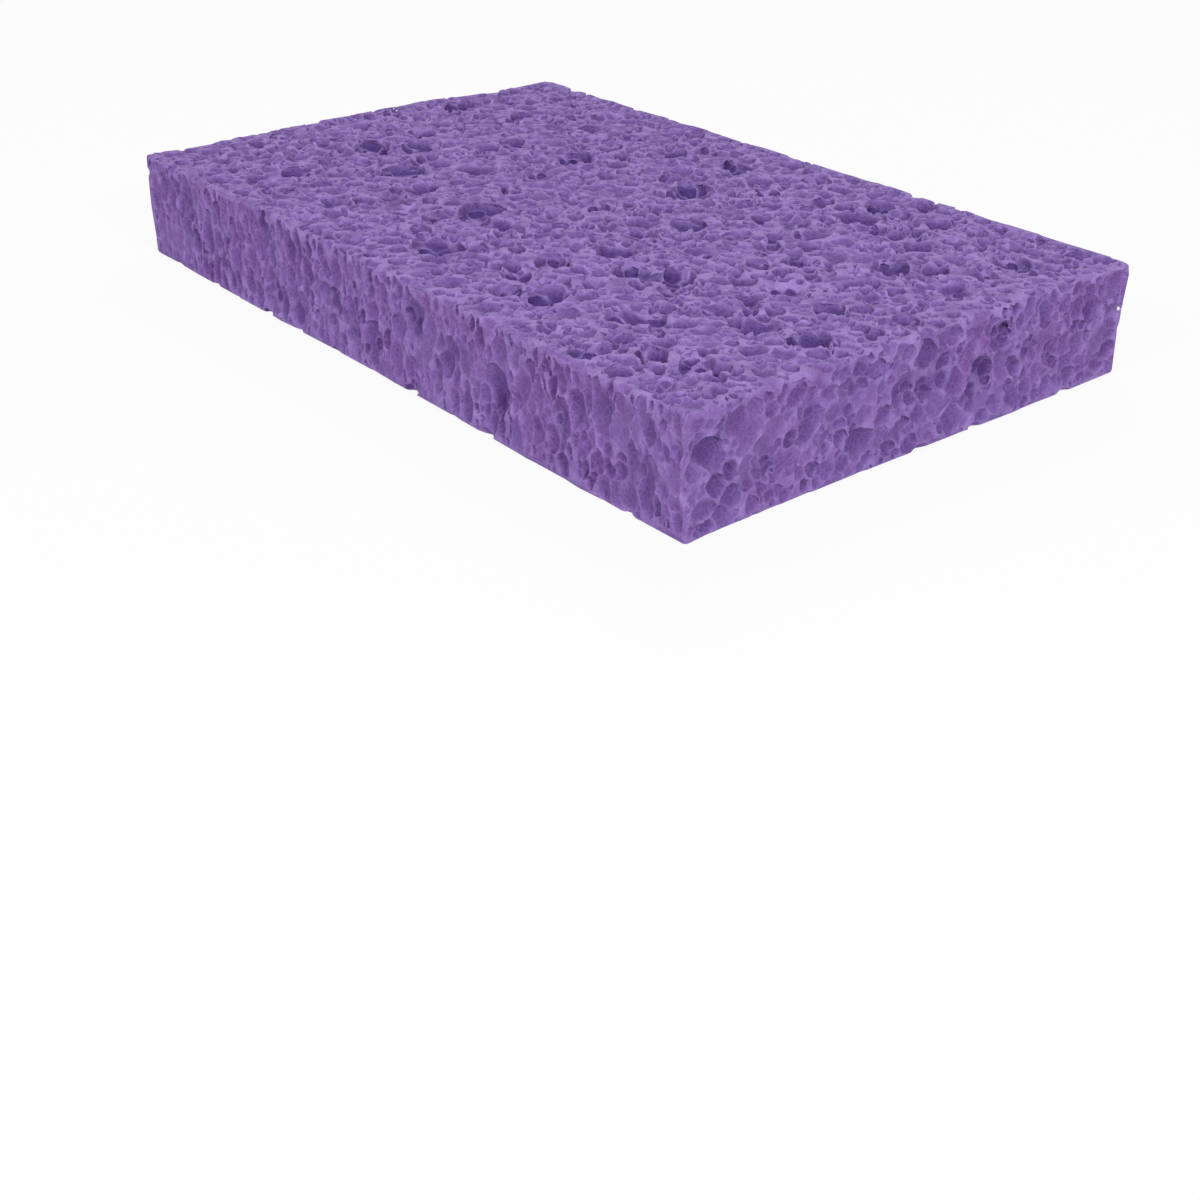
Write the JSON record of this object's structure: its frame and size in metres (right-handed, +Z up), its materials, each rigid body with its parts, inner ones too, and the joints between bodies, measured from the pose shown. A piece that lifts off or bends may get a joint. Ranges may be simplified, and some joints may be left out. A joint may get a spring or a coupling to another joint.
{
  "type": "cleaning sponge",
  "caption": "Flat rectangular cellulose cleaning sponge with open pores on all six faces, for wiping and washing by hand.",
  "frame": {"origin": "centre of the large face that the sponge lies on", "axes": "+X along the length, +Y across the width, +Z up through the thickness"},
  "size_m": [0.12, 0.075, 0.015],
  "materials": {
    "cellulose_foam": "matte open-celled purple cellulose foam"
  },
  "bodies": {
    "root": {"sponge": "cellulose_foam"}
  },
  "joints": []
}
